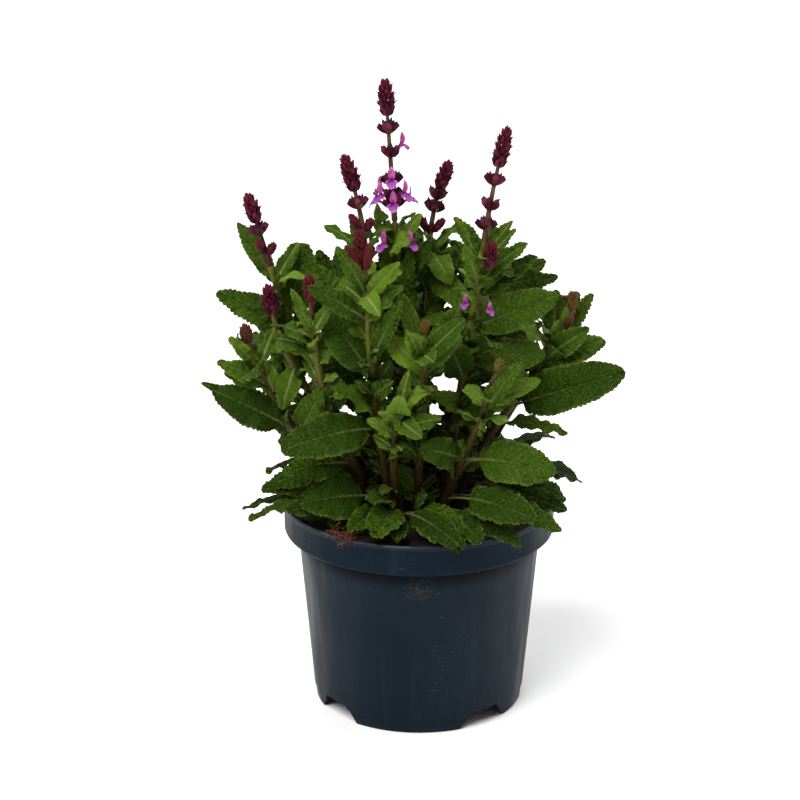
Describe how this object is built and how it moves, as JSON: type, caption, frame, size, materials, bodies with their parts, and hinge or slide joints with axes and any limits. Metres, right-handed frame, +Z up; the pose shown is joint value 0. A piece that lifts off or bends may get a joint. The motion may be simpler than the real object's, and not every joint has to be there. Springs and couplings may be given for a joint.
{
  "type": "perennial salvia in its nursery pot",
  "caption": "Perennial sage in a round nursery pot: upright leafy stems with dark flower spikes and a few open pink flowers.",
  "frame": {"origin": "the middle of the pot's underside, at ground level", "axes": "+Z up along the pot's axis; -Y is the front, and +X is to the right when seen from the front"},
  "size_m": [0.28, 0.2209, 0.441],
  "materials": {
    "pot_plastic": "dark slate-blue moulded plastic, satin, lightly scuffed",
    "growing_medium": "dark brown peat and coir, matt and crumbly",
    "leaf": "mid to dark green, matt, finely wrinkled and downy",
    "calyx": "dark maroon, matt, downy",
    "corolla": "magenta-pink, thin and slightly silky"
  },
  "bodies": {
    "root": {"pot": "pot_plastic", "growing_medium": "growing_medium", "leafy_stem_A": "leaf", "leafy_stem_B": "leaf", "leafy_stem_C": "leaf", "leafy_stem_D": "leaf", "leafy_stem_E": "leaf", "leafy_stem_F": "leaf", "leafy_stem_G": "leaf", "leafy_stem_H": "leaf", "leafy_stem_J": "leaf", "leafy_stem_K": "leaf", "leafy_stem_L": "leaf", "leafy_stem_M": "leaf", "leafy_stem_N": "leaf", "leafy_stem_Q": "leaf", "leafy_stem_R": "leaf", "leafy_stem_S": "leaf", "leafy_stem_T": "leaf", "leafy_stem_U": "leaf", "leafy_stem_V": "leaf", "spike_A": "calyx", "spike_B": "calyx", "spike_C": "calyx", "spike_D": "calyx", "spike_E": "calyx", "spike_F": "calyx", "spike_G": "calyx", "spike_H": "calyx", "spike_J": "calyx", "spike_K": "calyx", "spike_L": "calyx", "spike_M": "calyx", "spike_Q": "calyx", "spike_R": "calyx", "spike_S": "calyx", "spike_T": "calyx", "spike_U": "calyx", "spike_V": "calyx", "flower_1": "corolla", "flower_2": "corolla", "flower_3": "corolla", "flower_4": "corolla", "flower_5": "corolla", "flower_6": "corolla", "flower_7": "corolla", "flower_8": "corolla", "flower_9": "corolla", "flower_10": "corolla", "flower_11": "corolla", "flower_12": "corolla", "flower_13": "corolla"}
  },
  "joints": []
}
